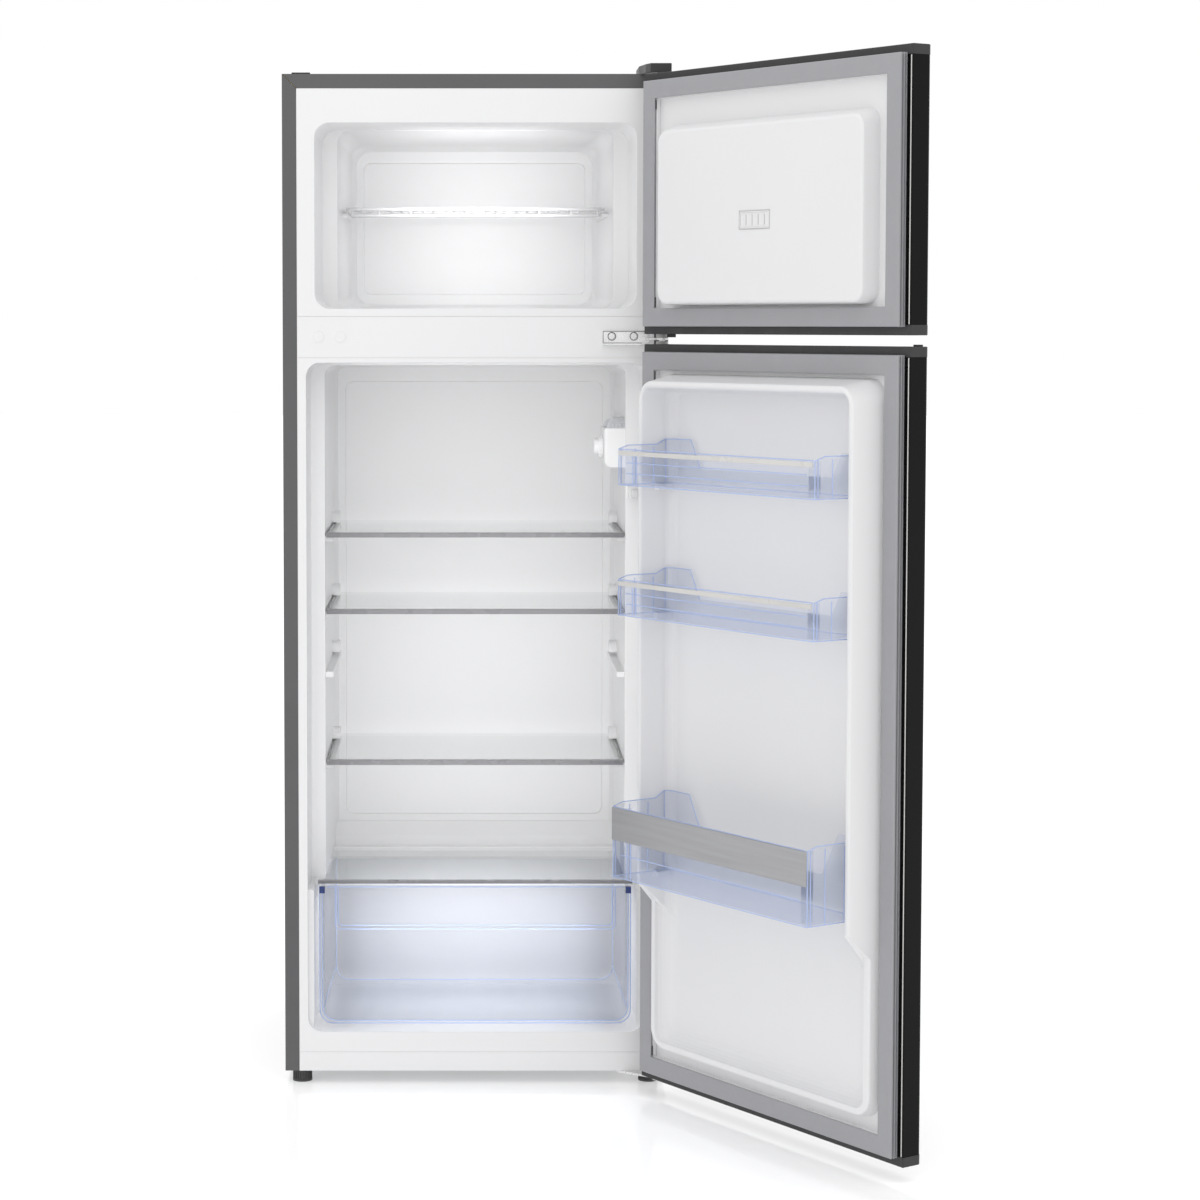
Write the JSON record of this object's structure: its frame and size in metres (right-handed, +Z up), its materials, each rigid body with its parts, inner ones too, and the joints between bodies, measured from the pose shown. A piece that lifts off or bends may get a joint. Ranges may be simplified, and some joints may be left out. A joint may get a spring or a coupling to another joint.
{
  "type": "top freezer refrigerator",
  "caption": "Free-standing two-door refrigerator with freezer compartment above, glass shelves, crisper drawer and door bins, doors standing open.",
  "frame": {"origin": "on the floor, under the middle of the front left levelling foot", "axes": "+Z up, +X to the right seen from the front, the front faces -Y"},
  "size_m": [0.8354, 0.9996, 1.45],
  "materials": {
    "shell_grey": "satin",
    "door_black": "satin",
    "galvanised": "satin",
    "liner_white": "satin",
    "door_white": "satin",
    "white_plastic": "satin",
    "cap_black": "satin",
    "gasket_grey": "matte",
    "bush_grey": "satin",
    "clear_glass": "polished",
    "shelf_trim": "gloss",
    "clear_blue": "polished",
    "bin_trim": "satin",
    "bottle_trim": "satin",
    "stop_blue": "gloss",
    "zinc": "polished",
    "compressor_black": "gloss",
    "copper": "polished",
    "rubber_black": "matte",
    "foam": "matte",
    "wire_white": "gloss",
    "lamp_clear": "gloss",
    "foot_dark": "matte"
  },
  "bodies": {
    "cabinet": {"outer_shell": "shell_grey", "back_panel": "galvanised", "base_deck": "galvanised", "compressor_tray": "galvanised", "cabinet_foam": "foam", "freezer_liner": "liner_white", "fridge_liner": "liner_white", "beam_cover": "white_plastic", "beam_plugs": "white_plastic", "bottom_strip": "white_plastic", "top_hinge": "zinc", "top_hinge_cover": "cap_black", "spare_hinge_cap": "cap_black", "middle_hinge": "zinc", "bottom_hinge": "zinc", "hinge_screws": "zinc", "rear_feet": "foot_dark", "compressor": "compressor_black", "compressor_grommets": "rubber_black", "relay_cover": "cap_black", "refrigerant_pipes": "copper", "drip_tray": "cap_black", "cord_gland": "cap_black", "thermostat_housing": "white_plastic", "lamp_cover": "lamp_clear"},
    "freezer_door": {"freezer_door_skin": "door_black", "freezer_door_foam": "foam", "freezer_door_liner": "door_white", "freezer_door_gasket": "gasket_grey", "freezer_door_top_cap": "cap_black", "freezer_door_bottom_cap": "cap_black", "freezer_door_bushes": "bush_grey"},
    "fridge_door": {"fridge_door_skin": "door_black", "fridge_door_foam": "foam", "fridge_door_liner": "door_white", "fridge_door_gasket": "gasket_grey", "fridge_door_top_cap": "cap_black", "fridge_door_bottom_cap": "cap_black", "fridge_door_bushes": "bush_grey"},
    "bin_upper": {"bin_upper": "clear_blue", "bin_trim_upper": "bin_trim"},
    "bin_middle": {"bin_middle": "clear_blue", "bin_trim_middle": "bin_trim"},
    "bottle_bin": {"bottle_bin": "clear_blue", "bottle_bin_trim": "bottle_trim"},
    "freezer_shelf": {"freezer_shelf": "wire_white"},
    "shelf_upper": {"shelf_glass_upper": "clear_glass", "shelf_trim_upper": "shelf_trim"},
    "shelf_middle": {"shelf_glass_middle": "clear_glass", "shelf_trim_middle": "shelf_trim"},
    "shelf_lower": {"shelf_glass_lower": "clear_glass", "shelf_trim_lower": "shelf_trim"},
    "crisper_cover": {"crisper_glass": "clear_glass", "crisper_trim": "shelf_trim"},
    "crisper_drawer": {"crisper_drawer": "clear_blue", "drawer_stops": "stop_blue"},
    "thermostat_knob": {"thermostat_knob": "white_plastic"},
    "door_switch": {"switch_button": "white_plastic"},
    "foot_left": {"front_foot_left": "foot_dark"},
    "foot_right": {"front_foot_right": "foot_dark"}
  },
  "joints": [
    {"name": "freezer_door_hinge", "type": "hinge", "parent": "cabinet", "child": "freezer_door", "pos_m": [0.5102, -0.055, 1.2545], "axis": [0, 0, 1], "range_deg": [-123.8, 11.2]},
    {"name": "fridge_door_hinge", "type": "hinge", "parent": "cabinet", "child": "fridge_door", "pos_m": [0.5102, -0.055, 0.54], "axis": [0, 0, 1], "range_deg": [-123.8, 11.2]},
    {"name": "freezer_shelf_slide", "type": "slide", "parent": "cabinet", "child": "freezer_shelf", "axis": [0, -1, 0], "range_m": [0, 0.2]},
    {"name": "shelf_upper_slide", "type": "slide", "parent": "cabinet", "child": "shelf_upper", "axis": [0, -1, 0], "range_m": [0, 0.24]},
    {"name": "shelf_middle_slide", "type": "slide", "parent": "cabinet", "child": "shelf_middle", "axis": [0, -1, 0], "range_m": [0, 0.24]},
    {"name": "shelf_lower_slide", "type": "slide", "parent": "cabinet", "child": "shelf_lower", "axis": [0, -1, 0], "range_m": [0, 0.24]},
    {"name": "crisper_cover_slide", "type": "slide", "parent": "cabinet", "child": "crisper_cover", "axis": [0, -1, 0], "range_m": [0, 0.16]},
    {"name": "crisper_drawer_slide", "type": "slide", "parent": "cabinet", "child": "crisper_drawer", "axis": [0, -1, 0], "range_m": [0, 0.2]},
    {"name": "bin_upper_lift", "type": "slide", "parent": "fridge_door", "child": "bin_upper", "axis": [0, 0, 1], "range_m": [0, 0.03]},
    {"name": "bin_middle_lift", "type": "slide", "parent": "fridge_door", "child": "bin_middle", "axis": [0, 0, 1], "range_m": [0, 0.03]},
    {"name": "bottle_bin_lift", "type": "slide", "parent": "fridge_door", "child": "bottle_bin", "axis": [0, 0, 1], "range_m": [0, 0.03]},
    {"name": "thermostat_knob_turn", "type": "hinge", "parent": "cabinet", "child": "thermostat_knob", "pos_m": [0.4262, 0.15, 0.908], "axis": [-1, 0, 0], "range_deg": [0, 280]},
    {"name": "door_switch_press", "type": "slide", "parent": "cabinet", "child": "door_switch", "axis": [0, -1, 0], "range_m": [-0.006, 0], "stiffness_N_per_m": 120},
    {"name": "foot_left_turn", "type": "hinge", "parent": "cabinet", "child": "foot_left", "pos_m": [0, 0, 0.009], "axis": [0, 0, 1], "range_deg": [0, 360]},
    {"name": "foot_right_turn", "type": "hinge", "parent": "cabinet", "child": "foot_right", "pos_m": [0.498, 0, 0.009], "axis": [0, 0, 1], "range_deg": [0, 360]}
  ]
}
